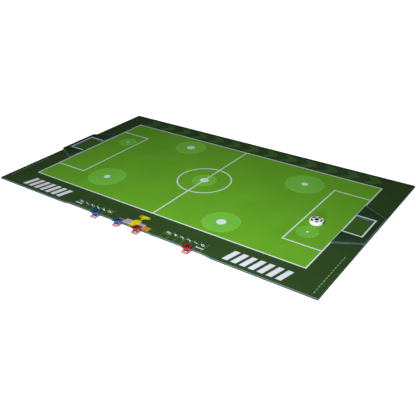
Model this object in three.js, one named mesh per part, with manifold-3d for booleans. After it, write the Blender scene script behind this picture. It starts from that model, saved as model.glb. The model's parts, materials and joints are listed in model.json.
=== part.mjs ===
// Tabletop flick-puck soccer mat: a printed two-layer mat with a raised goal plate at each end,
// four spring clips that keep the score along its front edge, and one puck.
// Millimetres, +Z up. The origin is the centre of the printed field, on the table under the mat.
// X runs from the left goal to the right goal, and Y from the score edge to the back edge.

import * as THREE from 'three';
import { mergeVertices } from 'three/addons/utils/BufferGeometryUtils.js';
import Module from 'manifold-3d';

const wasm = await Module();
wasm.setup();

// ---- Driving dimensions -------------------------------------------------------------------

const GAP = 0.3; // clearance kept between pieces that touch

// Mat: edges measured from the centre of the field, and its two layers
const MAT_LEFT = -352;
const MAT_RIGHT = 354;
const MAT_FRONT = -218;
const MAT_BACK = 208;
const BACKING_THICKNESS = 1.9;
const PRINT_THICKNESS = 1.8;
const PRINT_BOTTOM = BACKING_THICKNESS + GAP;
const MAT_TOP = PRINT_BOTTOM + PRINT_THICKNESS;

// Goal plates: trapezoids with a square goal cut into the long side, which faces the field
const GOAL_LINE_X = 306.5;
const PLATE_DEPTH = { left: 47, right: 48.5 };
const PLATE_HALF_LONG = 74;
const PLATE_HALF_SHORT = 48;
const GOAL_HALF_WIDTH = 30.2;
const GOAL_DEPTH = 34.8;
const CORE_THICKNESS = 2;
const FACE_THICKNESS = 0.6;

// Puck
const PUCK_RADIUS = 12.2;
const PUCK_BODY_HEIGHT = 6.1;
const PUCK_ROUNDING = 0.9;
const PUCK_SEGMENTS = 44;
const RIM_STEPS = 3;
const LABEL_RADIUS = 10.9;
const LABEL_THICKNESS = 0.4;
const PUCK_X = 258;
const PUCK_Y = -27;

// Spring clips: y counts back from the tip of the jaws, z up from the table
const CLIP_LENGTH = 18.5;
const CLIP_WIDTH = 13.3;
const JAW_TIP_Y = -210.7; // where the jaws end over the mat, in the object's frame
const JAW_ROUNDING = 1.2; // corners of the jaws in plan
const TAIL_ROUNDING = 2.5; // corners of the tails in plan
const BASE_THICKNESS = 2.2; // lower lever, flat on the table
const LIFT = BASE_THICKNESS + GAP; // height of the mat's edge over a lower lever
const JAW_BOTTOM = LIFT + MAT_TOP + GAP;
const JAW_TIP_THICKNESS = 1.2;
const LEVER_THICKNESS = 1.8; // upper lever behind its jaw
const LEVER_SLOPE = 0.217; // rise of the upper lever from its tip towards its tail
const NOSE = 1.2; // bevel at the tip of each jaw
const TAIL_BEVEL = 0.6;
const PIVOT_Y = -10.3;
const PIVOT_Z = 5.2;
const RIDGE_RADIUS = 1.6; // rounded ridge under the upper lever
const CRADLE_RADIUS = RIDGE_RADIUS + GAP;
const CRADLE_HALF_LENGTH = 2.2;
const CRADLE_TOP = 4.4;

// Spring band of a clip, and the windows that it passes through
const BAND_WIDTH = 6;
const BAND_THICKNESS = 0.5;
const BAND_TIP_Y = -2.5;
const BAND_BEND_Y = -9.2; // where the arms turn into the bend
const BAND_BEND_DEPTH = 4.2;
const BAND_BEND_STEPS = 14;
const BAND_GROOVE = BAND_THICKNESS + 2 * GAP; // depth of the groove each arm lies in
const BAND_INSET = BAND_GROOVE - GAP - BAND_THICKNESS / 2; // middle of an arm, in from the face
const WINDOW_WIDTH = BAND_WIDTH + 2 * GAP;
const WINDOW_FRONT = -7.6;
const WINDOW_BACK = -14.6;

// Clips as they stand on the score boxes and on the podium
const CLIPS = [
  { name: 'clip_blue_goals', x: -83.2, colour: 0x0a5cab },
  { name: 'clip_blue_wins', x: -30.3, colour: 0x0a5cab },
  { name: 'clip_red_wins', x: 13.8, colour: 0xa51218 },
  { name: 'clip_red_goals', x: 122, colour: 0xa51218 },
];

// Stretches of the front edge that clips ride along, where the mat stands clear of the table
const RAISED_STRETCHES = [
  [-150, 38],
  [57, 148],
];
const RAISED_FULLY_TO_Y = -206; // from the front edge back to here the mat is at full height
const RAISED_UNTIL_Y = -172; // and here it lies flat again
const RAISED_FADE_X = 22; // length over which the edge comes down beside a stretch

// Fineness of the mesh
const MAT_STEP_X = 9;
const MAT_STEP_Y = 5;
const PLAN_CURVE_STEPS = 6;
const SIDE_CURVE_STEPS = 8;
const OVERSHOOT = 1; // how far a cutting shape reaches past the piece that it cuts

// ---- Shape helpers ------------------------------------------------------------------------

const X_AXIS = new THREE.Vector3(1, 0, 0);
const Y_AXIS = new THREE.Vector3(0, 1, 0);
const Z_AXIS = new THREE.Vector3(0, 0, 1);

const material = (name, colour, roughness, metalness = 0) =>
  new THREE.MeshStandardMaterial({ name, color: colour, roughness, metalness });

function mesh(name, geometry, meshMaterial) {
  const piece = new THREE.Mesh(geometry, meshMaterial);
  piece.name = name;
  return piece;
}

function smoothStep(value, from, to) {
  const t = THREE.MathUtils.clamp((value - from) / (to - from), 0, 1);
  return t * t * (3 - 2 * t);
}

// An outline drawn in X and Y, raised from zLow by thickness
function plate(outline, zLow, thickness) {
  const geometry = new THREE.ExtrudeGeometry(outline, {
    depth: thickness,
    bevelEnabled: false,
    curveSegments: PLAN_CURVE_STEPS,
  });
  return geometry.translate(0, 0, zLow);
}

// A side outline drawn in Y and Z, drawn out to the given width along X
function prism(outline, width) {
  const geometry = new THREE.ExtrudeGeometry(outline, {
    depth: width,
    bevelEnabled: false,
    curveSegments: SIDE_CURVE_STEPS,
  });
  const toSide = new THREE.Matrix4().makeBasis(Y_AXIS, Z_AXIS, X_AXIS);
  return geometry.applyMatrix4(toSide).translate(-width / 2, 0, 0);
}

function box(width, yLow, yHigh, zLow, zHigh) {
  const geometry = new THREE.BoxGeometry(width, yHigh - yLow, zHigh - zLow);
  return geometry.translate(0, (yLow + yHigh) / 2, (zLow + zHigh) / 2);
}

function toSolid(geometry) {
  const bare = geometry.clone();
  bare.deleteAttribute('normal');
  bare.deleteAttribute('uv');
  const merged = mergeVertices(bare, 1e-4);
  return new wasm.Manifold(
    new wasm.Mesh({
      numProp: 3,
      vertProperties: new Float32Array(merged.attributes.position.array),
      triVerts: new Uint32Array(merged.index.array),
    }),
  );
}

function toGeometry(solid) {
  const { vertProperties, triVerts } = solid.getMesh();
  const geometry = new THREE.BufferGeometry();
  geometry.setAttribute('position', new THREE.BufferAttribute(vertProperties, 3));
  geometry.setIndex(new THREE.BufferAttribute(triVerts, 1));
  const faceted = geometry.toNonIndexed();
  faceted.computeVertexNormals();
  return faceted;
}

// ---- Mat ----------------------------------------------------------------------------------

// How far the mat stands off the table at a place, because of the clips along its front edge
function matLift(x, y) {
  const beside = RAISED_STRETCHES.map(([from, to]) => Math.max(from - x, x - to, 0));
  const alongX = 1 - smoothStep(Math.min(...beside), 0, RAISED_FADE_X);
  const alongY = 1 - smoothStep(y, RAISED_FULLY_TO_Y, RAISED_UNTIL_Y);
  return LIFT * alongX * alongY;
}

// Grid lines from the first edge to the last, at an even step over the stretch that bends
function gridLines(first, last, bendFrom, bendTo, step) {
  const count = Math.round((bendTo - bendFrom) / step);
  const inner = Array.from({ length: count + 1 }, (_, i) => bendFrom + (i * (bendTo - bendFrom)) / count);
  return [first, ...inner.filter((value) => value > first && value < last), last];
}

function matLayer(zLow, thickness) {
  const xLines = gridLines(
    MAT_LEFT,
    MAT_RIGHT,
    RAISED_STRETCHES[0][0] - RAISED_FADE_X,
    RAISED_STRETCHES[1][1] + RAISED_FADE_X,
    MAT_STEP_X,
  );
  const yLines = gridLines(MAT_FRONT, MAT_BACK, MAT_FRONT, RAISED_UNTIL_Y, MAT_STEP_Y);
  const columns = xLines.length - 1;
  const rows = yLines.length - 1;
  const geometry = new THREE.BoxGeometry(columns, rows, thickness, columns, rows, 1);
  const position = geometry.attributes.position;
  for (let i = 0; i < position.count; i += 1) {
    const x = xLines[Math.round(position.getX(i) + columns / 2)];
    const y = yLines[Math.round(position.getY(i) + rows / 2)];
    const z = zLow + thickness / 2 + position.getZ(i) + matLift(x, y);
    position.setXYZ(i, x, y, z);
  }
  geometry.computeVertexNormals();
  return geometry;
}

function buildMat() {
  const mat = new THREE.Group();
  const backing = material('mat_backing', 0x625f6b, 0.95);
  const print = material('mat_print', 0x3f8a2c, 0.55);
  mat.add(mesh('mat_backing', matLayer(0, BACKING_THICKNESS), backing));
  mat.add(mesh('mat_print_layer', matLayer(PRINT_BOTTOM, PRINT_THICKNESS), print));
  return mat;
}

// ---- Goal plates --------------------------------------------------------------------------

// Outline for the right goal. The left goal is drawn the same way and turned half a turn.
function goalPlateOutline(depth) {
  const outer = GOAL_LINE_X + depth;
  const net = GOAL_LINE_X + GOAL_DEPTH;
  const outline = new THREE.Shape();
  outline.moveTo(GOAL_LINE_X, -PLATE_HALF_LONG);
  outline.lineTo(outer, -PLATE_HALF_SHORT);
  outline.lineTo(outer, PLATE_HALF_SHORT);
  outline.lineTo(GOAL_LINE_X, PLATE_HALF_LONG);
  outline.lineTo(GOAL_LINE_X, GOAL_HALF_WIDTH);
  outline.lineTo(net, GOAL_HALF_WIDTH);
  outline.lineTo(net, -GOAL_HALF_WIDTH);
  outline.lineTo(GOAL_LINE_X, -GOAL_HALF_WIDTH);
  outline.closePath();
  return outline;
}

function buildGoal(side) {
  const goal = new THREE.Group();
  const outline = goalPlateOutline(PLATE_DEPTH[side]);
  const coreLow = MAT_TOP + GAP;
  const faceLow = coreLow + CORE_THICKNESS + GAP;
  const core = material('plate_core', 0x64708a, 0.9);
  const face = material('plate_face', 0x24402a, 0.5);
  goal.add(mesh(`goal_plate_${side}_core`, plate(outline, coreLow, CORE_THICKNESS), core));
  goal.add(mesh(`goal_plate_${side}_face`, plate(outline, faceLow, FACE_THICKNESS), face));
  goal.rotation.z = side === 'left' ? Math.PI : 0;
  return goal;
}

// ---- Puck ---------------------------------------------------------------------------------

// A disc with rounded rims, as a profile that starts and ends on the axis
function roundedDisc(radius, height, rounding) {
  const profile = new THREE.Path();
  profile.moveTo(0, 0);
  profile.lineTo(radius - rounding, 0);
  profile.absarc(radius - rounding, rounding, rounding, -Math.PI / 2, 0, false);
  profile.absarc(radius - rounding, height - rounding, rounding, 0, Math.PI / 2, false);
  profile.lineTo(0, height);
  const lathe = new THREE.LatheGeometry(profile.getPoints(RIM_STEPS), PUCK_SEGMENTS);
  return lathe.rotateX(Math.PI / 2);
}

function buildPuck() {
  const puck = new THREE.Group();
  const shell = material('puck_shell', 0xf0f0f2, 0.25);
  const label = material('puck_label', 0xe4e4ee, 0.4);
  const body = mesh('puck_body', roundedDisc(PUCK_RADIUS, PUCK_BODY_HEIGHT, PUCK_ROUNDING), shell);
  const rim = LABEL_THICKNESS / 4;
  const top = mesh('puck_label', roundedDisc(LABEL_RADIUS, LABEL_THICKNESS, rim), label);
  top.position.z = PUCK_BODY_HEIGHT + GAP;
  puck.add(body, top);
  puck.position.set(PUCK_X, PUCK_Y, MAT_TOP + GAP);
  return puck;
}

// ---- Spring clips -------------------------------------------------------------------------

// Plan of a lever: the tips are a little rounded, and the tail's corners more
function leverPlan() {
  const half = CLIP_WIDTH / 2;
  const outline = new THREE.Shape();
  const corner = (x, y, radius, quarter) =>
    outline.absarc(x, y, radius, (quarter * Math.PI) / 2, ((quarter + 1) * Math.PI) / 2, false);
  corner(half - JAW_ROUNDING, -JAW_ROUNDING, JAW_ROUNDING, 0);
  corner(-half + JAW_ROUNDING, -JAW_ROUNDING, JAW_ROUNDING, 1);
  corner(-half + TAIL_ROUNDING, -CLIP_LENGTH + TAIL_ROUNDING, TAIL_ROUNDING, 2);
  corner(half - TAIL_ROUNDING, -CLIP_LENGTH + TAIL_ROUNDING, TAIL_ROUNDING, 3);
  outline.closePath();
  return outline;
}

// Side of the lower lever: a flat plate with a hollow cradle for the upper lever's ridge
function lowerLeverSide() {
  const cradleDip = PIVOT_Z - CRADLE_TOP;
  const cradleAngle = Math.asin(cradleDip / CRADLE_RADIUS);
  const outline = new THREE.Shape();
  outline.moveTo(-CLIP_LENGTH, 0);
  outline.lineTo(0, 0);
  outline.lineTo(0, BASE_THICKNESS / 2);
  outline.lineTo(-NOSE, BASE_THICKNESS);
  outline.lineTo(PIVOT_Y + CRADLE_HALF_LENGTH, BASE_THICKNESS);
  outline.lineTo(PIVOT_Y + CRADLE_HALF_LENGTH, CRADLE_TOP);
  outline.absarc(PIVOT_Y, PIVOT_Z, CRADLE_RADIUS, -cradleAngle, -Math.PI + cradleAngle, true);
  outline.lineTo(PIVOT_Y - CRADLE_HALF_LENGTH, CRADLE_TOP);
  outline.lineTo(PIVOT_Y - CRADLE_HALF_LENGTH, BASE_THICKNESS);
  outline.lineTo(-CLIP_LENGTH, BASE_THICKNESS);
  outline.closePath();
  return outline;
}

// Height of the upper lever's top face, which slopes up from the tip of the jaw to the tail
const leverTop = (y) => JAW_BOTTOM + JAW_TIP_THICKNESS - LEVER_SLOPE * y;

// Side of the upper lever: a thin flat jaw, a round ridge that it rocks on, and the tail
function upperLeverSide() {
  const under = (y) => leverTop(y) - LEVER_THICKNESS;
  const jawPadEnd = (JAW_TIP_THICKNESS - LEVER_THICKNESS) / LEVER_SLOPE;
  const tailFace = -CLIP_LENGTH + TAIL_BEVEL;
  const outline = new THREE.Shape();
  outline.moveTo(0, JAW_BOTTOM);
  outline.lineTo(0, JAW_BOTTOM + JAW_TIP_THICKNESS / 2);
  outline.lineTo(-NOSE, leverTop(-NOSE));
  outline.lineTo(tailFace, leverTop(tailFace));
  outline.lineTo(-CLIP_LENGTH, leverTop(-CLIP_LENGTH) - LEVER_THICKNESS / 2);
  outline.lineTo(tailFace, under(tailFace));
  outline.lineTo(PIVOT_Y - RIDGE_RADIUS, under(PIVOT_Y - RIDGE_RADIUS));
  outline.lineTo(PIVOT_Y - RIDGE_RADIUS, PIVOT_Z);
  outline.absarc(PIVOT_Y, PIVOT_Z, RIDGE_RADIUS, Math.PI, 2 * Math.PI, false);
  outline.lineTo(PIVOT_Y + RIDGE_RADIUS, under(PIVOT_Y + RIDGE_RADIUS));
  outline.lineTo(jawPadEnd, JAW_BOTTOM);
  outline.closePath();
  return outline;
}

// Middle line of the spring band: the arm in the upper lever, the bend, and the lower arm
function bandLine() {
  const upperArm = (y) => new THREE.Vector2(y, leverTop(y) - BAND_INSET);
  const lowerArm = (y) => new THREE.Vector2(y, BAND_INSET);
  const pullY = BAND_BEND_Y - (BAND_BEND_DEPTH * 4) / 3; // gives a cubic curve that depth
  const bend = new THREE.CubicBezierCurve(
    upperArm(BAND_BEND_Y),
    upperArm(pullY),
    lowerArm(pullY),
    lowerArm(BAND_BEND_Y),
  );
  return [upperArm(BAND_TIP_Y), ...bend.getPoints(BAND_BEND_STEPS), lowerArm(BAND_TIP_Y)];
}

// Side of the spring band: its middle line, with half the thickness to each side
function bandSide() {
  const line = bandLine();
  const edge = (offset) =>
    line.map((point, i) => {
      const before = line[Math.max(i - 1, 0)];
      const after = line[Math.min(i + 1, line.length - 1)];
      const along = after.clone().sub(before).normalize();
      return new THREE.Vector2(point.x - along.y * offset, point.y + along.x * offset);
    });
  const half = BAND_THICKNESS / 2;
  return new THREE.Shape([...edge(half), ...edge(-half).reverse()]);
}

// A lever from its side and its plan, with the window for the spring
function leverSolid(side, zHigh) {
  const top = zHigh + OVERSHOOT;
  const body = toSolid(prism(side, CLIP_WIDTH + 2 * OVERSHOOT));
  const plan = toSolid(plate(leverPlan(), -OVERSHOOT, top + OVERSHOOT));
  const window = toSolid(box(WINDOW_WIDTH, WINDOW_BACK, WINDOW_FRONT, -OVERSHOOT, top));
  return body.intersect(plan).subtract(window);
}

// Groove that an arm of the spring lies in, between two faces, open to the window behind it
function grooveSolid(faceLow, faceHigh) {
  const tip = BAND_TIP_Y + GAP;
  const back = WINDOW_FRONT - OVERSHOOT;
  const outline = new THREE.Shape();
  outline.moveTo(tip, faceLow(tip));
  outline.lineTo(tip, faceHigh(tip));
  outline.lineTo(back, faceHigh(back));
  outline.lineTo(back, faceLow(back));
  outline.closePath();
  return toSolid(prism(outline, WINDOW_WIDTH));
}

function lowerLever() {
  const lever = leverSolid(lowerLeverSide(), CRADLE_TOP);
  const groove = grooveSolid(
    () => -OVERSHOOT,
    () => BAND_GROOVE,
  );
  return toGeometry(lever.subtract(groove));
}

function upperLever() {
  const lever = leverSolid(upperLeverSide(), leverTop(-CLIP_LENGTH));
  const groove = grooveSolid(
    (y) => leverTop(y) - BAND_GROOVE,
    (y) => leverTop(y) + OVERSHOOT,
  );
  return toGeometry(lever.subtract(groove));
}

function buildClip({ name, x, colour }) {
  const clip = new THREE.Group();
  const coloured = material(`${name}_plastic`, colour, 0.35);
  const clear = material(`${name}_clear`, 0xd8dce0, 0.15);
  const steel = material(`${name}_steel`, 0xb4b6ba, 0.3, 1);
  clip.add(mesh(`${name}_upper_lever`, upperLever(), coloured));
  clip.add(mesh(`${name}_lower_lever`, lowerLever(), clear));
  clip.add(mesh(`${name}_spring`, prism(bandSide(), BAND_WIDTH), steel));
  clip.position.set(x, JAW_TIP_Y, 0);
  return clip;
}

// ---- The object ---------------------------------------------------------------------------

const group = new THREE.Group();
group.add(buildMat());
group.add(buildGoal('left'), buildGoal('right'));
group.add(buildPuck());
CLIPS.forEach((clip) => group.add(buildClip(clip)));

export default group;
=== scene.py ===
"""Tabletop flick-puck soccer mat: the looks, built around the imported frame.

Metres, +Z up. The origin is the centre of the printed field, on the table under the mat.
The print is made of thin layers of ink on the mat's top sheet, so that its edges stay sharp.
"""

import json
import math

import bmesh
import bpy
from mathutils import Matrix, Vector


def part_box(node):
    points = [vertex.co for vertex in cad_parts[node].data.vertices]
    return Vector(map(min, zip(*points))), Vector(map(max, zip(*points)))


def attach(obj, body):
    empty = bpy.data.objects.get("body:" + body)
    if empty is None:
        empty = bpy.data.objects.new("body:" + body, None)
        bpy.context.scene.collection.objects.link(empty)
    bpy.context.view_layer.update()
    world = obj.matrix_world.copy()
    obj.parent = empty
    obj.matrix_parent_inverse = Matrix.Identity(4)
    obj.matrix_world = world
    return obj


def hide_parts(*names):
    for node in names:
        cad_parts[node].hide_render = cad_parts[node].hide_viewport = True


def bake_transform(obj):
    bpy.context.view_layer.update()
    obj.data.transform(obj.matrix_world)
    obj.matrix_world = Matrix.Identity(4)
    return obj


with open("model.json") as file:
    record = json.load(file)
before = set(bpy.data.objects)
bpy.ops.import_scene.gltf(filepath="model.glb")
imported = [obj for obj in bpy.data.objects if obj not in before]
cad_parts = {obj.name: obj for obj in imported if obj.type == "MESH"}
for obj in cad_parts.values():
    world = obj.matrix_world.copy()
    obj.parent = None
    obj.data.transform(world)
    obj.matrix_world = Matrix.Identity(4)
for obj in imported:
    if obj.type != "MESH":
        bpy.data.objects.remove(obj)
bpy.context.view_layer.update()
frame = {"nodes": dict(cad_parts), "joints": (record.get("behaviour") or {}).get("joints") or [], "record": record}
record = frame["record"]

MM = 0.001

# ---- Sizes and places from the frame -------------------------------------------------------

mounts = {mount["name"]: mount for mount in record["mounts"]}
joints = {joint["name"]: joint for joint in frame["joints"]}
CLIPS = ("clip_blue_goals", "clip_blue_wins", "clip_red_wins", "clip_red_goals")

sheet_low, sheet_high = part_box("mat_print_layer")
plate_low, plate_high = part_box("goal_plate_right_face")  # the left one differs only in depth
puck_low, puck_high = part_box("puck_body")
label_low, label_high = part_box("puck_label")

SHEET_TOP = mounts["playing_face"]["pos_m"][2]
SHEET_MIDDLE = SHEET_TOP / 2  # where the printed sheet meets the foam
LIFT = sheet_high.z - SHEET_TOP
JAW_TIP_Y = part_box(CLIPS[0] + "_lower_lever")[1].y

# ---- Sizes of the print ----------------------------------------------------------------------

INK = 0.05 * MM  # thickness of one layer of ink
GRID_FINE = 2.5 * MM  # mesh step where the mat is raised
GRID_COARSE = 12 * MM
FULL_LIFT_REACH = 4.7 * MM  # the raised edge stays at full height this far behind the jaw tips
LIFT_REACH = 38.7 * MM  # and lies flat again this far behind them
FADE_X = 22 * MM  # length over which the edge comes down beside the clips
SLIDE_MARGIN = 4 * MM  # raised length kept beyond the places that a clip reaches
SHEET_ROUNDING = 0.35 * MM
FOAM_ROUNDING = 0.25 * MM

# Points in whole circles, and steps in parts of circles
CIRCLE_POINTS = 72
DOT_POINTS = 40
RING_POINTS = 36
HANDLE_POINTS = 28
HALF_CIRCLE_STEPS = 40
SHORT_ARC_STEPS = 8

LINE = 2.6 * MM  # width of the white lines
EDGE_LINE = 2.4 * MM  # width of the line round the field
FIELD_HALF_LENGTH = 305 * MM
FIELD_HALF_WIDTH = 160 * MM
PENALTY_X = 232.8 * MM
PENALTY_Y = 103.2 * MM
CIRCLE_RADIUS = 53.8 * MM

# Light discs with a white dot: x, y, radius, dot radius. Each has a twin half a turn round.
DISCS = (
    (-119.3 * MM, 116.5 * MM, 34 * MM, 9 * MM),
    (-173.4 * MM, -95.4 * MM, 38.4 * MM, 6.6 * MM),
    (-258.7 * MM, 62.3 * MM, 19.3 * MM, 2.5 * MM),
)
CENTRE_DISC = (0, 0, 24.6 * MM, 8.8 * MM)
DISC_RIM = 0.8 * MM

# Goal plates
GOAL_HALF_WIDTH = 30.2 * MM
GOAL_BACK_X = plate_low.x + 34.8 * MM
GOAL_LINE = 2.8 * MM
PLATE_HALF_SHORT = 48 * MM
PLATE_RIM_WIDTH = 0.9 * MM
RIM_CORNER_INSET = 0.7 * PLATE_RIM_WIDTH  # along y, at the plate's outer corners
RIM_END_INSET = 1.8 * PLATE_RIM_WIDTH  # along y, where the slanted ends meet the goal line
BOARD_ROUNDING = 0.2 * MM
FACE_ROUNDING = 0.15 * MM

# Score boxes: six to a side, from 5 next to the podium to 0
BOX_COUNT = 6
BOX_PITCH = 14 * MM
BOX_FIRST_X = {"right": 69 * MM, "left": -65.6 * MM}  # middle of the box marked 5
BOX_TOP_Y = -191.5 * MM
NUMERAL_Y = -200.6 * MM
NUMERAL_SIZE = 11.61 * MM  # font size
NUMERAL_SLANT = 0.4
NUMERAL_BOLDNESS = 0.08 * MM
BOX_LINE = 0.8 * MM
START_BAR_Y = (-210 * MM, -208 * MM)
START_BAR_HALF = 7.6 * MM
RING_RADIUS = 5.2 * MM
RING_WIDTH = 0.6 * MM

# Decoration of the border: low x, high x, low y, high y
BARS_RIGHT = (183 * MM, 302 * MM, -210 * MM, -180 * MM)
BARS_LEFT = (-293 * MM, -176 * MM, -210 * MM, -180 * MM)
BAR_COUNT = 7
BAR_SLANT = 7 * MM
BAR_SHARE = 0.62  # of its pitch that a bar fills
BACK_CHEVRONS = (-298 * MM, 298 * MM, 167 * MM, 199 * MM)
CHEVRON_PITCH = 46 * MM
CHEVRON_THICKNESS = 21 * MM
CHEVRON_REACH = 16 * MM
DASH_SIZE = (1.5 * MM, 5.5 * MM)
DASH_PITCH = 8 * MM
DASHES_RIGHT = (342 * MM, -210 * MM, -98 * MM)  # x, low y, high y
DASHES_LEFT = (-344 * MM, -200 * MM, -100 * MM)

# Podium: half width of the middle step, width of the others, and the height of each top
STEP_HALF = 7.3 * MM
STEP_WIDTH = 14.4 * MM
PODIUM_X = -0.3 * MM
PODIUM_FOOT_Y = sheet_low.y + 1.2 * MM
GOLD_TOP_Y = -197.5 * MM
SILVER_TOP_Y = -201.8 * MM
BRONZE_TOP_Y = {"right": -206 * MM, "left": -208.2 * MM}

# Trophy on the middle step
TROPHY_HEIGHT = 21.5 * MM
TROPHY_FOOT = (5 * MM, 1.8 * MM)  # half width and thickness of the bar it stands on
TROPHY_GAP = 0.9 * MM  # between that bar and the stem
STEM_HEIGHT = 7 * MM
STEM_HALF = 1.2 * MM
CUP_RADIUS = 7 * MM
CUP_WALL = 4 * MM
BOWL_START = -70  # degrees, where the bowl's curve leaves the stem
HANDLE_RADIUS = 4.4 * MM
HANDLE_WIDTH = 1.7 * MM

# Puck, with a plain ball pattern on its label
PUCK_CLEARANCE = 5 * INK  # above the mat, so that it stands clear of every layer of ink
PUCK_ROUNDING = 1.1 * MM
PUCK_LIP = 0.7 * MM
PUCK_LIP_HEIGHT = 0.25 * MM
LABEL_THICKNESS = 0.2 * MM
PATTERN_RADIUS = 10.3 * MM
PATTERN_TURN = 5.5  # degrees
PATTERN_SIDES = 5
SIDE_ANGLE = 360 / PATTERN_SIDES
PATCH_RADIUS = 4.7 * MM
RIM_PATCH_HALF = 24  # degrees
RIM_PATCH_SHOULDER = 0.75 * PATTERN_RADIUS
RIM_PATCH_POINT = 0.64 * PATTERN_RADIUS
SEAM_WIDTH = 0.45 * MM
SEAM_LAYERS = 1
PATCH_LAYERS = 2

# Clips
LEVER_SLOPE = 0.217  # rise of an upper lever towards its tail
RIB_COUNT = 3
RIB_RADIUS = 0.3 * MM
RIB_LENGTH = 7 * MM
RIB_FIRST = 0.9 * MM  # from the end of the tail
RIB_PITCH = 1.1 * MM
RIB_SUNK = 0.12 * MM
THUMB_LEVER_ROUNDING = 0.35 * MM
BASE_LEVER_ROUNDING = 0.3 * MM
BAND_ROUNDING = 0.1 * MM

# Meshes: points closer than this are joined
MERGE_DISTANCE = 0.002 * MM
CAD_MERGE_DISTANCE = 0.001 * MM

# Meshes: angles between faces
FLAT_ANGLE = math.radians(1)  # up to this, faces of the CAD are joined into one
HARD_ANGLE = math.radians(32)  # from this on, an edge of the CAD is rounded
RIM_ANGLE = 1  # radians; only the rims of the mat's layers are sharper than this

# ---- Colours -------------------------------------------------------------------------------


def srgb(red, green, blue):
    """A colour given as 0 to 255 on screen, as the linear colour that a shader takes."""
    def linear(value):
        share = value / 255
        return share / 12.92 if share <= 0.04045 else ((share + 0.055) / 1.055) ** 2.4
    return (linear(red), linear(green), linear(blue), 1)


def scaled(colour, factor):
    return tuple(min(channel * factor, 1) for channel in colour[:3]) + (1,)


# ---- Materials -----------------------------------------------------------------------------

# Texture sizes, as repeats to the metre
CLOUDS = 14
GRAIN = 900
WEAVE = 420
NET_MESH = 55
FOAM_CELLS = 2600
FOAM_PATCHES = 60
TABLE_CLOUDS = 3
PLASTIC_WAVES = 180
RUBBED_MARKS = 1400
FLOW_MARKS = 260
ROLLING_MARKS = 1500

# Depths of relief
WEAVE_DEPTH = 0.02 * MM
CELL_DEPTH = 0.15 * MM
WAVE_DEPTH = 0.04 * MM

DULL = 0.08  # specular level of print and foam

# Shares of each texture in the tone of a print, and of the finer one in a relief
CLOUD_WEIGHT = 0.6
GRAIN_WEIGHT = 0.4
GRAIN_RELIEF = 0.8
MARK_RELIEF = 0.3

# How far a colour varies to each side
NET_MOTTLE = 0.1
FOAM_MOTTLE = 0.25
PLASTIC_MOTTLE = 0.08

# Places of a Mix node's colour sockets, which come after those for numbers and vectors
MIX_COLOUR_A = 6
MIX_COLOUR_B = 7
MIX_COLOUR_RESULT = 2


class Shader:
    """A material with one Principled shader, and short ways to add nodes to it."""

    def __init__(self, name):
        self.material = bpy.data.materials.new(name)
        self.material.use_nodes = True
        self.tree = self.material.node_tree
        self.tree.nodes.clear()
        output = self.add("ShaderNodeOutputMaterial")
        self.surface = self.add("ShaderNodeBsdfPrincipled")
        self.link(self.surface.outputs["BSDF"], output.inputs["Surface"])
        self.place = self.add("ShaderNodeTexCoord").outputs["Object"]

    def add(self, kind, **settings):
        node = self.tree.nodes.new(kind)
        for key, value in settings.items():
            setattr(node, key, value)
        return node

    def link(self, source, target):
        self.tree.links.new(source, target)

    def set(self, **values):
        for key, value in values.items():
            self.surface.inputs[key.replace("_", " ")].default_value = value

    def noise(self, scale, detail=2.0, stretch=(1, 1, 1)):
        mapping = self.add("ShaderNodeMapping")
        mapping.inputs["Scale"].default_value = stretch
        self.link(self.place, mapping.inputs["Vector"])
        texture = self.add("ShaderNodeTexNoise")
        texture.inputs["Scale"].default_value = scale
        texture.inputs["Detail"].default_value = detail
        self.link(mapping.outputs["Vector"], texture.inputs["Vector"])
        return texture.outputs["Fac"]

    def waves(self, scale, direction, turn=0.0):
        mapping = self.add("ShaderNodeMapping")
        mapping.inputs["Rotation"].default_value = (0, 0, turn)
        self.link(self.place, mapping.inputs["Vector"])
        texture = self.add("ShaderNodeTexWave", bands_direction=direction)
        texture.inputs["Scale"].default_value = scale
        self.link(mapping.outputs["Vector"], texture.inputs["Vector"])
        return texture.outputs["Fac"]

    def math(self, operation, first, second):
        node = self.add("ShaderNodeMath", operation=operation)
        for socket, value in zip(node.inputs, (first, second)):
            if isinstance(value, (int, float)):
                socket.default_value = value
            else:
                self.link(value, socket)
        return node.outputs["Value"]

    def spread(self, value, low, high, from_low=0.3, from_high=0.7):
        """Stretches the middle of a texture's range to low up to high."""
        node = self.add("ShaderNodeMapRange")
        node.inputs["From Min"].default_value = from_low
        node.inputs["From Max"].default_value = from_high
        node.inputs["To Min"].default_value = low
        node.inputs["To Max"].default_value = high
        self.link(value, node.inputs["Value"])
        return node.outputs["Result"]

    def mix(self, share, first, second):
        node = self.add("ShaderNodeMix", data_type="RGBA")
        self.link(share, node.inputs["Factor"])
        for index, value in ((MIX_COLOUR_A, first), (MIX_COLOUR_B, second)):
            if isinstance(value, tuple):
                node.inputs[index].default_value = value
            else:
                self.link(value, node.inputs[index])
        return node.outputs[MIX_COLOUR_RESULT]

    def mottled(self, share, colour, amount):
        """A colour that varies with a texture, by this amount to each side."""
        return self.mix(share, scaled(colour, 1 - amount), scaled(colour, 1 + amount))

    def colour(self, source):
        self.link(source, self.surface.inputs["Base Color"])

    def roughness(self, source):
        self.link(source, self.surface.inputs["Roughness"])

    def bump(self, height, distance, strength=1.0):
        node = self.add("ShaderNodeBump")
        node.inputs["Distance"].default_value = distance
        node.inputs["Strength"].default_value = strength
        self.link(height, node.inputs["Height"])
        self.link(node.outputs["Normal"], self.surface.inputs["Normal"])


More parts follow.
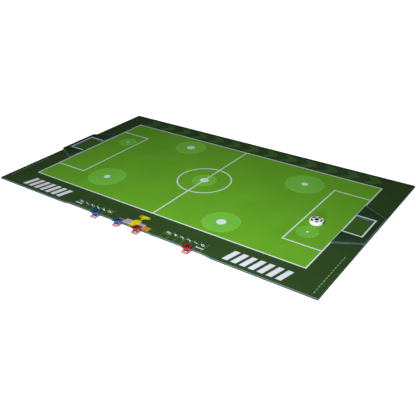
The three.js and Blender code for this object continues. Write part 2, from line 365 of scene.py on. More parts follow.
def printed(name, colour, mottle=0.07, roughness=0.55):
    """Ink on the mat's top sheet: slightly uneven, over a fine woven face."""
    shader = Shader(name)
    shader.set(Specular_IOR_Level=DULL)
    broad = shader.math("MULTIPLY", shader.noise(CLOUDS, detail=3), CLOUD_WEIGHT)
    grain = shader.noise(GRAIN)
    tone = shader.math("ADD", broad, shader.math("MULTIPLY", grain, GRAIN_WEIGHT))
    share = shader.spread(tone, 0, 1, from_low=0.35, from_high=0.65)
    shader.colour(shader.mottled(share, colour, mottle))
    shader.roughness(shader.spread(grain, roughness - 0.05, roughness + 0.08))
    weave = shader.math("ADD", shader.waves(WEAVE, "X"), shader.waves(WEAVE, "Y"))
    height = shader.math("ADD", weave, shader.math("MULTIPLY", grain, GRAIN_RELIEF))
    shader.bump(height, WEAVE_DEPTH, strength=0.6)
    return shader.material


def netting(name, colour, thread):
    """The printed net on the floor of a goal: thin crossed threads over green."""
    shader = Shader(name)
    shader.set(Specular_IOR_Level=DULL)
    turn = math.radians(45)
    one_way = shader.waves(NET_MESH, "X", turn)
    crossed = shader.math("MAXIMUM", one_way, shader.waves(NET_MESH, "Y", turn))
    threads = shader.spread(crossed, 0, 0.5, from_low=0.93, from_high=1.0)
    ground = shader.mottled(shader.noise(CLOUDS, detail=3), colour, NET_MOTTLE)
    shader.colour(shader.mix(threads, ground, thread))
    shader.roughness(shader.spread(shader.noise(GRAIN), 0.4, 0.55))
    shader.bump(shader.waves(WEAVE, "X"), WEAVE_DEPTH, strength=0.5)
    return shader.material


def foam(name, colour):
    """Cut or moulded foam rubber: fine open cells and a matt face."""
    shader = Shader(name)
    shader.set(Specular_IOR_Level=DULL)
    cells = shader.noise(FOAM_CELLS, detail=3)
    patches = shader.noise(FOAM_PATCHES, detail=3)
    both = shader.math("ADD", cells, patches)
    share = shader.spread(both, 0, 1, from_low=0.75, from_high=1.25)
    shader.colour(shader.mottled(share, colour, FOAM_MOTTLE))
    shader.roughness(shader.spread(cells, 0.8, 0.95))
    shader.bump(cells, CELL_DEPTH, strength=0.7)
    return shader.material


def moulded(name, colour, roughness):
    """Glossy moulded plastic with a little waviness and fine rubbed marks."""
    shader = Shader(name)
    broad = shader.noise(PLASTIC_WAVES)
    marks = shader.noise(RUBBED_MARKS, detail=4, stretch=(1, 0.25, 1))
    tone = shader.spread(broad, 0, 1)
    shader.colour(shader.mottled(tone, colour, PLASTIC_MOTTLE))
    shader.roughness(shader.spread(marks, roughness - 0.06, roughness + 0.1))
    height = shader.math("ADD", broad, shader.math("MULTIPLY", marks, MARK_RELIEF))
    shader.bump(height, WAVE_DEPTH, strength=0.5)
    return shader.material


def clear_plastic(name, deep, pale):
    """Clear moulded plastic, with flow marks between two tints."""
    shader = Shader(name)
    flow = shader.noise(FLOW_MARKS, detail=3, stretch=(1, 0.3, 1))
    shader.set(Transmission_Weight=0.85, IOR=1.49, Specular_IOR_Level=0.35)
    tone = shader.spread(flow, 0, 1)
    shader.colour(shader.mix(tone, deep, pale))
    shader.roughness(shader.spread(flow, 0.12, 0.24))
    shader.bump(flow, WAVE_DEPTH, strength=0.5)
    return shader.material


def steel(name, dark, light):
    """Dark oil-tempered spring strip with the marks of rolling along it; part of its dark brown is painted shade.
    """
    shader = Shader(name)
    rolled = shader.noise(ROLLING_MARKS, detail=3, stretch=(1, 0.06, 0.06))
    shader.set(Metallic=1.0)
    shader.colour(shader.mix(shader.spread(rolled, 0, 1), dark, light))
    shader.roughness(shader.spread(rolled, 0.32, 0.5))
    shader.bump(rolled, WEAVE_DEPTH, strength=0.4)
    return shader.material


def tabletop(name, colour):
    """A pale, faintly cloudy tabletop that glows a little, so that it stays white far away."""
    shader = Shader(name)
    cloud = shader.noise(TABLE_CLOUDS)
    shader.colour(shader.mix(cloud, scaled(colour, 0.985), scaled(colour, 1.0)))
    shader.set(Roughness=0.7, Emission_Color=srgb(255, 255, 255), Emission_Strength=0.95)
    return shader.material


BORDER = printed("border_green", srgb(44, 70, 31))
FIELD = printed("field_green", srgb(97, 162, 36))
DISC = printed("disc_green", srgb(108, 183, 62))
RIM = printed("disc_rim_green", srgb(122, 193, 82))
WHITE = printed("line_white", srgb(208, 220, 222), mottle=0.03)
STRIPE = printed("stripe_white", srgb(210, 214, 228), mottle=0.04)
BACK_MARK = printed("back_mark_green", srgb(56, 98, 46))
FAINT = printed("faint_green", srgb(92, 134, 80))
DASH = printed("dash_grey", srgb(124, 150, 128))
SILVER = printed("podium_silver", srgb(158, 148, 168))
GOLD = printed("podium_gold", srgb(206, 192, 0))
OLIVE = printed("ring_olive", srgb(140, 152, 30))
RING_GREEN = printed("ring_green", srgb(58, 104, 44))
BRONZE = printed("podium_bronze", srgb(186, 122, 34))
HIGHLIGHT = printed("trophy_highlight", srgb(226, 224, 150))
NET = netting("goal_floor_net", srgb(54, 91, 28), srgb(80, 112, 56))
# Side of the printed sheet: its own teal-grey, darkened by painted shade so that the lit front edge stays dim.
SHEET_EDGE_WITH_PAINTED_SHADE = foam("sheet_edge", srgb(84, 112, 114))
FOAM = foam("backing_foam", srgb(66, 56, 68))
# Board core of the goal plates: a pale core coloured dark blue-grey, painted shade on its cut sides.
CORE_PAINTED_SHADE = foam("plate_core", srgb(84, 98, 120))
PLATE = printed("plate_green", srgb(33, 58, 31))
# Painted highlight: a pale green line along the rims of the goal plates.
PLATE_RIM_HIGHLIGHT = printed("plate_rim_green", srgb(88, 134, 104))
PUCK_WHITE = moulded("puck_white", srgb(255, 253, 255), roughness=0.22)
LABEL = printed("label_white", srgb(240, 240, 248), mottle=0.02, roughness=0.3)
LABEL_BLACK = printed("label_black", srgb(26, 24, 34), mottle=0.1, roughness=0.3)
SEAM = printed("label_seam", srgb(120, 118, 140), mottle=0.05, roughness=0.3)
BLUE = moulded("clip_blue", srgb(0, 80, 152), roughness=0.3)
RED = moulded("clip_red", srgb(162, 8, 16), roughness=0.3)
# Clear base levers: a rose tint, a painted reflection of a reddish table seen through the plastic.
CLEAR_PAINTED_REFLECTION = clear_plastic("clip_clear", srgb(204, 150, 154), srgb(230, 190, 194))
# Spring band: dark brown, partly its own colour and partly painted shade from inside the clip's window.
STEEL_AND_SHADE = steel("clip_steel", srgb(74, 52, 44), srgb(104, 78, 68))
FLOOR = tabletop("table_pale", srgb(240, 240, 240))

# ---- Mesh helpers --------------------------------------------------------------------------


def smooth_step(value, low, high):
    share = min(max((value - low) / (high - low), 0), 1)
    return share * share * (3 - 2 * share)


def raised_stretches():
    """The stretches of the front edge that each clip covers as it slides."""
    stretches = []
    for clip in CLIPS:
        low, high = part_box(clip + "_lower_lever")
        back, forth = joints[clip + "_slide"]["range_m"]
        stretches.append((low.x + back - SLIDE_MARGIN, high.x + forth + SLIDE_MARGIN))
    return stretches


STRETCHES = raised_stretches()
RAISED_FULLY_TO_Y = JAW_TIP_Y + FULL_LIFT_REACH
RAISED_UNTIL_Y = JAW_TIP_Y + LIFT_REACH


def mat_lift(x, y):
    """How far the mat stands off the table, because of the clips under its front edge."""
    if y > RAISED_UNTIL_Y:
        return 0
    beside = min(max(low - x, x - high, 0) for low, high in STRETCHES)
    along_x = 1 - smooth_step(beside, 0, FADE_X)
    along_y = 1 - smooth_step(y, RAISED_FULLY_TO_Y, RAISED_UNTIL_Y)
    return LIFT * along_x * along_y


def steps(low, high, size):
    count = max(round((high - low) / size), 1)
    return [low + (high - low) * i / count for i in range(count + 1)]


RAISED_FROM_X = min(low for low, _ in STRETCHES) - FADE_X
RAISED_TO_X = max(high for _, high in STRETCHES) + FADE_X
GRID_X = (
    steps(sheet_low.x, RAISED_FROM_X, GRID_COARSE)[:-1]
    + steps(RAISED_FROM_X, RAISED_TO_X, GRID_FINE)
    + steps(RAISED_TO_X, sheet_high.x, GRID_COARSE)[1:]
)
GRID_Y = (
    steps(sheet_low.y, RAISED_UNTIL_Y, GRID_FINE)
    + steps(RAISED_UNTIL_Y, sheet_high.y, GRID_COARSE)[1:]
)


def add_object(name, mesh, material, body, replaces=None):
    """Puts a finished mesh in the scene as one piece of the object."""
    piece = bpy.data.objects.new(name, mesh)
    bpy.context.scene.collection.objects.link(piece)
    if material is not None:
        mesh.materials.append(material)
    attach(piece, body)
    if replaces:
        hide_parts(replaces)
    return piece


def mesh_from(bm, name):
    bmesh.ops.recalc_face_normals(bm, faces=bm.faces[:])
    mesh = bpy.data.meshes.new(name)
    bm.to_mesh(mesh)
    bm.free()
    return mesh


def evaluated_mesh(data, name):
    """The mesh of a curve or text, or of an object with its modifiers applied."""
    holder = data
    if not isinstance(data, bpy.types.Object):
        holder = bpy.data.objects.new(name, data)
        bpy.context.scene.collection.objects.link(holder)
    graph = bpy.context.evaluated_depsgraph_get()
    mesh = bpy.data.meshes.new_from_object(holder.evaluated_get(graph))
    mesh.name = name
    bpy.data.objects.remove(holder)
    return mesh


def drape(bm):
    """Cuts flat ink along the mat's own grid where the mat is raised, and lifts it with the mat."""
    ys = [v.co.y for v in bm.verts]
    if min(ys) > RAISED_UNTIL_Y:
        return
    for axis, lines in ((Vector((1, 0, 0)), GRID_X), (Vector((0, 1, 0)), GRID_Y)):
        places = [v.co.dot(axis) for v in bm.verts]
        inside = [line for line in lines if min(places) < line < max(places)]
        for line in inside:
            everything = bm.verts[:] + bm.edges[:] + bm.faces[:]
            bmesh.ops.bisect_plane(bm, geom=everything, plane_co=axis * line, plane_no=axis)
    for vert in bm.verts:
        vert.co.z += mat_lift(vert.co.x, vert.co.y)


def finish_ink(mesh, name, top, turn, place):
    """Closes an extruded outline, turns it into place and lays it on the mat."""
    bm = bmesh.new()
    bm.from_mesh(mesh)
    bmesh.ops.remove_doubles(bm, verts=bm.verts[:], dist=MERGE_DISTANCE)
    matrix = Matrix.Translation((*place, top)) @ Matrix.Rotation(turn, 4, "Z")
    bmesh.ops.transform(bm, matrix=matrix, verts=bm.verts[:])
    drape(bm)
    bpy.data.meshes.remove(mesh)
    return mesh_from(bm, name)


def ink(name, outlines, layers, material, base=SHEET_TOP, body="mat"):
    """A flat print of closed outlines, an outline inside another being a hole."""
    curve = bpy.data.curves.new(name, "CURVE")
    curve.dimensions = "2D"
    curve.fill_mode = "BOTH"
    curve.extrude = layers * INK / 2
    for outline in outlines:
        spline = curve.splines.new("POLY")
        spline.points.add(len(outline) - 1)
        for point, (x, y) in zip(spline.points, outline):
            point.co = (x, y, 0, 1)
        spline.use_cyclic_u = True
    mesh = finish_ink(evaluated_mesh(curve, name), name, base + curve.extrude, 0, (0, 0))
    bpy.data.curves.remove(curve)
    return add_object(name, mesh, material, body)


def numeral(name, digit, place, turn, layers, material):
    """One printed score numeral, slanted, turned to face its player."""
    text = bpy.data.curves.new(name, "FONT")
    text.body = digit
    text.size = NUMERAL_SIZE
    text.shear = NUMERAL_SLANT
    text.offset = NUMERAL_BOLDNESS
    text.extrude = layers * INK / 2
    text.align_x = "CENTER"
    text.align_y = "CENTER"
    mesh = finish_ink(evaluated_mesh(text, name), name, SHEET_TOP + text.extrude, turn, place)
    bpy.data.curves.remove(text)
    return add_object(name, mesh, material, "mat")


def rectangle(x_low, x_high, y_low, y_high):
    return [(x_low, y_low), (x_high, y_low), (x_high, y_high), (x_low, y_high)]


def arc(x, y, radius, start, end, count):
    """Points along an arc, its angles in degrees."""
    angles = [math.radians(start + (end - start) * i / count) for i in range(count + 1)]
    return [(x + radius * math.cos(angle), y + radius * math.sin(angle)) for angle in angles]


def circle(x, y, radius, count=CIRCLE_POINTS):
    return arc(x, y, radius, 0, 360, count)[:-1]


def half_turn(outline):
    return [(-x, -y) for x, y in outline]


def both_ends(outlines):
    return outlines + [half_turn(outline) for outline in outlines]


# ---- Mat -----------------------------------------------------------------------------------


def look_index(normal):
    """Which of a slab's three looks a face has: 0 on top, 1 at the side, 2 underneath."""
    if abs(normal.z) < 0.5:
        return 1
    return 0 if normal.z > 0 else 2


def mat_slab(name, z_low, z_high, rounding, top, side, under):
    """One layer of the mat, on the grid, with rounded edges and its own look on each side."""
    bm = bmesh.new()
    rows = [[bm.verts.new((x, y, z_high)) for x in GRID_X] for y in GRID_Y]
    for near, far in zip(rows, rows[1:]):
        for i in range(len(GRID_X) - 1):
            bm.faces.new((near[i], near[i + 1], far[i + 1], far[i]))
    down = bmesh.ops.extrude_face_region(bm, geom=bm.faces[:])
    for vert in (item for item in down["geom"] if isinstance(item, bmesh.types.BMVert)):
        vert.co.z = z_low
    bmesh.ops.recalc_face_normals(bm, faces=bm.faces[:])
    for face in bm.faces:
        face.material_index = look_index(face.normal)
    rims = [edge for edge in bm.edges if edge.calc_face_angle(0) > RIM_ANGLE]
    bmesh.ops.bevel(bm, geom=rims, offset=rounding, segments=2, profile=0.5, affect="EDGES")
    for vert in bm.verts:
        vert.co.z += mat_lift(vert.co.x, vert.co.y)
    mesh = mesh_from(bm, name)
    for material in (top, side, under):
        mesh.materials.append(material)
    mesh.shade_smooth()
    return mesh


def build_mat():
    sides = (BORDER, SHEET_EDGE_WITH_PAINTED_SHADE, FOAM)
    sheet_mesh = mat_slab("mat_sheet", SHEET_MIDDLE, SHEET_TOP, SHEET_ROUNDING, *sides)
    sheet = add_object("mat_sheet", sheet_mesh, None, "mat", "mat_print_layer")
    foam_mesh = mat_slab("mat_foam", 0, SHEET_MIDDLE, FOAM_ROUNDING, FOAM, FOAM, FOAM)
    backing = add_object("mat_foam", foam_mesh, None, "mat", "mat_backing")


# ---- Field print ---------------------------------------------------------------------------


def white_lines():
    """All the field's lines as one shape: the whole field, with the green cells as holes."""
    half = LINE / 2
    length = FIELD_HALF_LENGTH - EDGE_LINE / 2
    width = FIELD_HALF_WIDTH - EDGE_LINE / 2
    outer = CIRCLE_RADIUS + half
    inner = CIRCLE_RADIUS - half
    outer_end = math.degrees(math.asin(half / outer))
    inner_end = math.degrees(math.asin(half / inner))
    side_cell = (
        [(-length, width), (-half, width)]
        + arc(0, 0, outer, 90 + outer_end, 270 - outer_end, HALF_CIRCLE_STEPS)
        + [(-half, -width), (-length, -width), (-length, -PENALTY_Y - half)]
        + [(-PENALTY_X + half, -PENALTY_Y - half), (-PENALTY_X + half, PENALTY_Y + half)]
        + [(-length, PENALTY_Y + half)]
    )
    box_cell = rectangle(-length, -PENALTY_X - half, -PENALTY_Y + half, PENALTY_Y - half)
    circle_cell = arc(0, 0, inner, 90 + inner_end, 270 - inner_end, HALF_CIRCLE_STEPS)
    far = length + EDGE_LINE
    wide = width + EDGE_LINE
    edge = rectangle(-far, far, -wide, wide)
    return [edge] + both_ends([side_cell, box_cell, circle_cell])


def build_field():
    field = rectangle(-FIELD_HALF_LENGTH, FIELD_HALF_LENGTH, -FIELD_HALF_WIDTH, FIELD_HALF_WIDTH)
    ink("field_print", [field], 1, FIELD)
    goal = rectangle(FIELD_HALF_LENGTH, GOAL_BACK_X, -GOAL_HALF_WIDTH, GOAL_HALF_WIDTH)
    ink("goal_floor_right", [goal], 1, NET)
    ink("goal_floor_left", [half_turn(goal)], 1, NET)
    twins = [(-x, -y, radius, dot) for x, y, radius, dot in DISCS]
    for number, (x, y, radius, dot) in enumerate([*DISCS, *twins, CENTRE_DISC], 1):
        ink(f"disc_{number}", [circle(x, y, radius)], 2, DISC)
        ink(f"disc_rim_{number}", [circle(x, y, radius), circle(x, y, radius - DISC_RIM)], 3, RIM)
        ink(f"disc_dot_{number}", [circle(x, y, dot, DOT_POINTS)], 4, WHITE)
    ink("field_lines", white_lines(), 3, WHITE)


# ---- Border print --------------------------------------------------------------------------


def slanted_bars(x_low, x_high, y_low, y_high):
    """A row of equal slanted bars, as a plain sporty decoration."""
    pitch = (x_high - x_low - BAR_SLANT) / BAR_COUNT
    bars = []
    for i in range(BAR_COUNT):
        left = x_low + i * pitch
        right = left + pitch * BAR_SHARE
        foot = [(left, y_low), (right, y_low)]
        bars.append(foot + [(right + BAR_SLANT, y_high), (left + BAR_SLANT, y_high)])
    return bars


def chevrons(x_low, x_high, y_low, y_high):
    """A row of plain chevrons along the back border."""
    middle = (y_low + y_high) / 2
    last = x_high - CHEVRON_THICKNESS - CHEVRON_REACH
    row = []
    for back in steps(x_low, last, CHEVRON_PITCH):
        front = back + CHEVRON_THICKNESS
        lower = [(back, y_low), (front, y_low), (front + CHEVRON_REACH, middle)]
        row.append(lower + [(front, y_high), (back, y_high), (back + CHEVRON_REACH, middle)])
    return row


def edge_dashes(x, y_low, y_high):
    """A fine dashed line along a side edge."""
    wide, long = DASH_SIZE
    return [rectangle(x, x + wide, y, y + long) for y in steps(y_low, y_high - long, DASH_PITCH)]


def build_border():
    ink("stripe_group_left", slanted_bars(*BARS_LEFT), 1, STRIPE)
    ink("stripe_group_right", slanted_bars(*BARS_RIGHT), 1, STRIPE)
    ink("back_chevrons", chevrons(*BACK_CHEVRONS), 1, BACK_MARK)
    ink("edge_dashes_right", edge_dashes(*DASHES_RIGHT), 1, DASH)
    ink("edge_dashes_left", edge_dashes(*DASHES_LEFT), 1, DASH)


def build_score_boxes():
    """Each side's boxes from 5, the full score, to 0, where its clip starts."""
    for side, sign in (("right", 1), ("left", -1)):
        middle = BOX_FIRST_X[side]
        bars = []
        for i in range(BOX_COUNT + 1):
            x = middle + sign * (i - 0.5) * BOX_PITCH
            bars.append(rectangle(x - BOX_LINE / 2, x + BOX_LINE / 2, PODIUM_FOOT_Y, BOX_TOP_Y))
        ink(f"score_box_lines_{side}", bars, 1, FAINT)
        for i in range(BOX_COUNT):
            score = BOX_COUNT - 1 - i
            place = (middle + sign * i * BOX_PITCH, NUMERAL_Y)
            numeral(f"score_{score}_{side}", str(score), place, sign * math.pi / 2, 3, STRIPE)
        start = middle + sign * (BOX_COUNT - 1) * BOX_PITCH
        bar = rectangle(start - START_BAR_HALF, start + START_BAR_HALF, *START_BAR_Y)
        ink(f"score_start_bar_{side}", [bar], 2, STRIPE)
        inner = circle(middle, NUMERAL_Y, RING_RADIUS - RING_WIDTH, RING_POINTS)
        ink(f"score_full_ground_{side}", [inner], 1, RING_GREEN)
        ring = [circle(middle, NUMERAL_Y, RING_RADIUS, RING_POINTS), inner]
        ink(f"score_full_ring_{side}", ring, 2, OLIVE)


def build_podium():
    gold = rectangle(PODIUM_X - STEP_HALF, PODIUM_X + STEP_HALF, PODIUM_FOOT_Y, GOLD_TOP_Y)
    ink("podium_gold_step", [gold], 1, GOLD)
    for side, sign in (("right", 1), ("left", -1)):
        edges = [PODIUM_X + sign * (STEP_HALF + i * STEP_WIDTH) for i in range(3)]
        inner = (min(edges[:2]), max(edges[:2]))
        outer = (min(edges[1:]), max(edges[1:]))
        silver = rectangle(*inner, PODIUM_FOOT_Y, SILVER_TOP_Y)
        bronze = rectangle(*outer, PODIUM_FOOT_Y, BRONZE_TOP_Y[side])
        ink(f"podium_silver_step_{side}", [silver], 1, SILVER)
        ink(f"podium_bronze_step_{side}", [bronze], 1, BRONZE)


def build_trophy():
    """A plain two-handled cup that stands on a bar above the middle step."""
    foot_half, foot_thickness = TROPHY_FOOT
    foot_y = GOLD_TOP_Y + TROPHY_GAP
    stem_low = foot_y + foot_thickness + TROPHY_GAP
    rim_y = GOLD_TOP_Y + TROPHY_HEIGHT
    bowl_y = rim_y - CUP_WALL
    bar = rectangle(PODIUM_X - foot_half, PODIUM_X + foot_half, foot_y, foot_y + foot_thickness)
    right = [(STEM_HALF, stem_low), (STEM_HALF, GOLD_TOP_Y + STEM_HEIGHT)]
    right += arc(0, bowl_y, CUP_RADIUS, BOWL_START, 0, SHORT_ARC_STEPS)
    right += [(CUP_RADIUS, rim_y)]
    left = [(-x, y) for x, y in reversed(right)]
    cup = [(PODIUM_X + x, y) for x, y in right + left]
    ink("trophy_cup", [cup], 2, GOLD)
    ink("trophy_foot", [bar], 1, GOLD)
    for side, sign in (("right", 1), ("left", -1)):
        x = PODIUM_X + sign * CUP_RADIUS
        y = rim_y - HANDLE_RADIUS
        radii = (HANDLE_RADIUS, HANDLE_RADIUS - HANDLE_WIDTH)
        ring = [circle(x, y, radius, HANDLE_POINTS) for radius in radii]
        ink(f"trophy_handle_{side}", ring, 1, GOLD)
    shine_x = PODIUM_X + CUP_RADIUS / 2
    shine = rectangle(shine_x - STEM_HALF, shine_x + STEM_HALF, bowl_y, rim_y - STEM_HALF)
    ink("trophy_shine", [shine], 3, HIGHLIGHT)


# ---- Goal plates and clips: finished copies of the CAD shapes ------------------------------


def finished_copy(name, node, rounding, material, body):
    """The CAD shape with its hard edges rounded, standing for the CAD node."""
    bm = bmesh.new()
    bm.from_mesh(frame["nodes"][node].data)
    bmesh.ops.remove_doubles(bm, verts=bm.verts[:], dist=CAD_MERGE_DISTANCE)
    bmesh.ops.dissolve_limit(bm, angle_limit=FLAT_ANGLE, verts=bm.verts[:], edges=bm.edges[:])
    rough = bpy.data.objects.new(name, mesh_from(bm, name))
    bpy.context.scene.collection.objects.link(rough)
    bevel = rough.modifiers.new("rounding", "BEVEL")
    bevel.width = rounding
    bevel.segments = 3
    bevel.limit_method = "ANGLE"
    bevel.angle_limit = HARD_ANGLE
    bevel.harden_normals = True
    mesh = evaluated_mesh(rough, name)
    mesh.shade_smooth()
    return add_object(name, mesh, material, body, node)


def plate_rim(outer_x):
    """A pale line along the plate's two ends and its outer side: a painted highlight on the rim of the plate's
    print.
    """
    short = PLATE_HALF_SHORT
    inner_x = outer_x - PLATE_RIM_WIDTH
    inner_short = short - RIM_CORNER_INSET
    inner_long = plate_high.y - RIM_END_INSET
    outer = [(plate_low.x, plate_low.y), (outer_x, -short)]
    outer += [(outer_x, short), (plate_low.x, plate_high.y)]
    inner = [(plate_low.x, inner_long), (inner_x, inner_short)]
    inner += [(inner_x, -inner_short), (plate_low.x, -inner_long)]
    return outer + inner


def build_goal(side, sign):
    core = f"goal_plate_{side}_core"
    face = f"goal_plate_{side}_face"
    finished_copy(f"goal_{side}_board", core, BOARD_ROUNDING, CORE_PAINTED_SHADE, "mat")
    finished_copy(f"goal_{side}_print", face, FACE_ROUNDING, PLATE, "mat")
    far = GOAL_BACK_X + GOAL_LINE
    wide = GOAL_HALF_WIDTH + GOAL_LINE
    line = [(plate_low.x, -wide), (far, -wide), (far, wide), (plate_low.x, wide)]
    line += [(plate_low.x, GOAL_HALF_WIDTH), (GOAL_BACK_X, GOAL_HALF_WIDTH)]
    line += [(GOAL_BACK_X, -GOAL_HALF_WIDTH), (plate_low.x, -GOAL_HALF_WIDTH)]
    low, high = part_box(face)
    rim = plate_rim(max(-low.x, high.x))
    if sign < 0:
        line = half_turn(line)
        rim = half_turn(rim)
    ink(f"goal_{side}_line", [line], 1, WHITE, base=plate_high.z)
    # painted highlight along the plate's rim
    ink(f"goal_{side}_rim", [rim], 1, PLATE_RIM_HIGHLIGHT, base=plate_high.z)


def tail_ribs(clip, material):
    """Three low ribs across the tail of the upper lever, for the thumb."""
    low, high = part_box(clip + "_upper_lever")
    middle = (low.x + high.x) / 2
    across = Matrix.Rotation(math.pi / 2, 4, "Y")
    bm = bmesh.new()
    for i in range(RIB_COUNT):
        back = low.y + RIB_FIRST + RIB_PITCH * i
        top = high.z - (back - low.y) * LEVER_SLOPE - RIB_SUNK
        made = bmesh.ops.create_cone(
            bm, cap_ends=True, segments=12, radius1=RIB_RADIUS, radius2=RIB_RADIUS, depth=RIB_LENGTH
        )
        place = Matrix.Translation((middle, back, top))
        bmesh.ops.transform(bm, matrix=place @ across, verts=made["verts"])
    mesh = mesh_from(bm, f"{clip}_ribs")
    mesh.shade_smooth()
    return add_object(f"{clip}_ribs", mesh, material, f"{clip}_upper")


def build_clip(clip):
    colour, slot = (BLUE, "blue_plastic") if "blue" in clip else (RED, "red_plastic")
    upper = f"{clip}_upper_lever"
    lower = f"{clip}_lower_lever"
    spring = f"{clip}_spring"
    finished_copy(f"{clip}_thumb_lever", upper, THUMB_LEVER_ROUNDING, colour, f"{clip}_upper")
    finished_copy(f"{clip}_base_lever", lower, BASE_LEVER_ROUNDING, CLEAR_PAINTED_REFLECTION, clip)
    tail_ribs(clip, colour)
    band = finished_copy(f"{clip}_band", spring, BAND_ROUNDING, STEEL_AND_SHADE, clip)
    band.parent = None  # it hangs from neither of the two levers
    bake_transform(band)


# ---- Puck ----------------------------------------------------------------------------------


def lathe(name, profile, centre, segments=96):
    """A closed turned shape from a profile of radius and height that starts and ends on the axis."""
    bm = bmesh.new()
    verts = [bm.verts.new((radius, 0, height)) for radius, height in profile]
    edges = [bm.edges.new(pair) for pair in zip(verts, verts[1:])]
    bmesh.ops.spin(
        bm, geom=verts + edges, cent=(0, 0, 0), axis=(0, 0, 1), angle=2 * math.pi, steps=segments
    )
    bmesh.ops.remove_doubles(bm, verts=bm.verts[:], dist=MERGE_DISTANCE)
    bmesh.ops.translate(bm, vec=centre, verts=bm.verts[:])
    mesh = mesh_from(bm, name)
    mesh.shade_smooth()
    return mesh


def puck_profile(radius, height):
    """Straight wall, rounded rims, and a low lip around the top."""
    inside = radius - PUCK_ROUNDING
    floor = height - PUCK_LIP_HEIGHT
    lower = arc(inside, PUCK_ROUNDING, PUCK_ROUNDING, -90, 0, SHORT_ARC_STEPS)
    upper = arc(inside, height - PUCK_ROUNDING, PUCK_ROUNDING, 0, 90, SHORT_ARC_STEPS)
    lip = [(inside - PUCK_LIP, height), (inside - PUCK_LIP - PUCK_LIP_HEIGHT, floor)]
    return [(0, 0)] + lower + upper + lip + [(0, floor)]


def polar(radius, degrees):
    angle = math.radians(degrees)
    return (radius * math.cos(angle), radius * math.sin(angle))


def ball_patches():
    """Black patches of a plain ball pattern: one in the middle and five cut off by the rim."""
    patches = [circle(0, 0, PATCH_RADIUS, PATTERN_SIDES)]
    for i in range(PATTERN_SIDES):
        middle = SIDE_ANGLE * i
        first = middle - RIM_PATCH_HALF
        last = middle + RIM_PATCH_HALF
        rim = arc(0, 0, PATTERN_RADIUS, first, last, SHORT_ARC_STEPS)
        inner = [polar(RIM_PATCH_SHOULDER, last), polar(RIM_PATCH_POINT, middle)]
        patches.append(rim + inner + [polar(RIM_PATCH_SHOULDER, first)])
    return patches


def seam(start, end):
    along = (Vector(end) - Vector(start)).normalized()
    side = Vector((-along.y, along.x)) * SEAM_WIDTH / 2
    corners = (Vector(start) - side, Vector(end) - side, Vector(end) + side, Vector(start) + side)
    return [tuple(corner) for corner in corners]


def ball_seams():
    """Seams from the middle patch out to the rim patches, and from each of those to the next."""
    seams = []
    for i in range(PATTERN_SIDES):
        middle = SIDE_ANGLE * i
        left = polar(RIM_PATCH_SHOULDER, middle + RIM_PATCH_HALF)
        right = polar(RIM_PATCH_SHOULDER, middle + SIDE_ANGLE - RIM_PATCH_HALF)
        seams.append(seam(polar(PATCH_RADIUS, middle), polar(RIM_PATCH_POINT, middle)))
        seams.append(seam(left, right))
    return seams


def on_puck(outline, centre):
    """An outline of the pattern, turned and moved onto the puck."""
    turn = Matrix.Rotation(math.radians(PATTERN_TURN), 2)
    return [tuple(turn @ Vector(point) + centre.xy) for point in outline]


def build_puck():
    centre = (puck_low + puck_high) / 2
    foot = SHEET_TOP + PUCK_CLEARANCE
    height = label_high.z - foot - PATCH_LAYERS * INK
    radius = (puck_high.x - puck_low.x) / 2
    shell = lathe("puck_shell", puck_profile(radius, height), Vector((*centre.xy, foot)))
    add_object("puck_shell", shell, PUCK_WHITE, "puck", "puck_body")
    label_foot = foot + height - LABEL_THICKNESS
    label_top = label_foot + LABEL_THICKNESS
    reach = (label_high.x - label_low.x) / 2
    disc = [(0, 0), (reach, 0), (reach, LABEL_THICKNESS - INK)]
    disc += [(reach - INK, LABEL_THICKNESS), (0, LABEL_THICKNESS)]
    label = lathe("puck_disc", disc, Vector((*centre.xy, label_foot)))
    add_object("puck_disc", label, LABEL, "puck", "puck_label")
    for name, outlines, layers, material in (
        ("puck_seams", ball_seams(), SEAM_LAYERS, SEAM),
        ("puck_patches", ball_patches(), PATCH_LAYERS, LABEL_BLACK),
    ):
        placed = [on_puck(outline, centre) for outline in outlines]
        ink(name, placed, layers, material, label_top, "puck")


# ---- Stage, light and camera ---------------------------------------------------------------

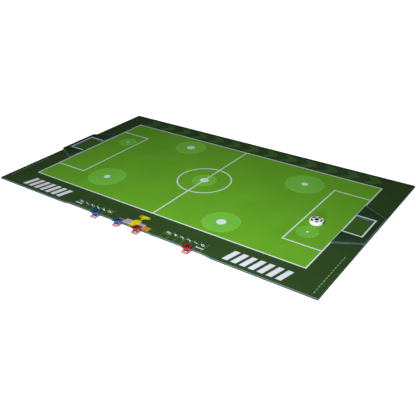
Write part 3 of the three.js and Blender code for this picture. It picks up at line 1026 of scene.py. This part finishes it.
FLOOR_HALF = 6  # m
FLOOR_DROP = 0.2 * MM  # below the mat
WORLD_STRENGTH = 0.12
KEY = {"place": (0.12, -0.36, 0.56), "target": (0.08, -0.24, 0), "size": 0.4, "power": 3.2}
FILL = {"place": (0.5, -1.1, 0.3), "target": (0.1, -0.1, 0), "size": 0.3, "power": 10}
CAMERA_PLACE = Vector((0.6166, -0.8534, 0.5275))
CAMERA_FORWARD = Vector((-0.5071, 0.7112, -0.4869))
CAMERA_ROLL = math.radians(-0.73)
CAMERA_LENS = 51.08  # mm
CAMERA_SENSOR = 36  # mm


def build_floor():
    bm = bmesh.new()
    bmesh.ops.create_grid(bm, x_segments=1, y_segments=1, size=FLOOR_HALF)
    floor = bpy.data.objects.new("floor", mesh_from(bm, "floor"))
    floor.data.materials.append(FLOOR)
    floor.location.z = -FLOOR_DROP
    bpy.context.scene.collection.objects.link(floor)


def area_light(name, place, target, size, power):
    """A soft square light that points from its place to a target."""
    light = bpy.data.lights.new(name, "AREA")
    light.size = size
    light.energy = power
    lamp = bpy.data.objects.new(name, light)
    lamp.location = place
    lamp.rotation_euler = (Vector(target) - Vector(place)).to_track_quat("-Z", "Y").to_euler()
    lamp.visible_camera = False
    bpy.context.scene.collection.objects.link(lamp)


def build_light():
    world = bpy.data.worlds.new("studio")
    bpy.context.scene.world = world
    world.use_nodes = True
    background = world.node_tree.nodes["Background"]
    background.inputs["Color"].default_value = (1, 1, 1, 1)
    background.inputs["Strength"].default_value = WORLD_STRENGTH
    area_light("key", **KEY)
    area_light("front_fill", **FILL)


def build_camera():
    camera = bpy.data.cameras.new("camera")
    camera.lens = CAMERA_LENS
    camera.sensor_width = CAMERA_SENSOR
    eye = bpy.data.objects.new("camera", camera)
    aim = CAMERA_FORWARD.to_track_quat("-Z", "Y").to_matrix().to_4x4()
    eye.matrix_world = Matrix.Translation(CAMERA_PLACE) @ aim @ Matrix.Rotation(CAMERA_ROLL, 4, "Z")
    bpy.context.scene.collection.objects.link(eye)
    bpy.context.scene.camera = eye


build_mat()
build_field()
build_border()
build_score_boxes()
build_podium()
build_trophy()
build_goal("right", 1)
build_goal("left", -1)
for clip_name in CLIPS:
    build_clip(clip_name)
build_puck()
build_floor()
build_light()
build_camera()
bpy.context.scene.view_settings.view_transform = "Standard"
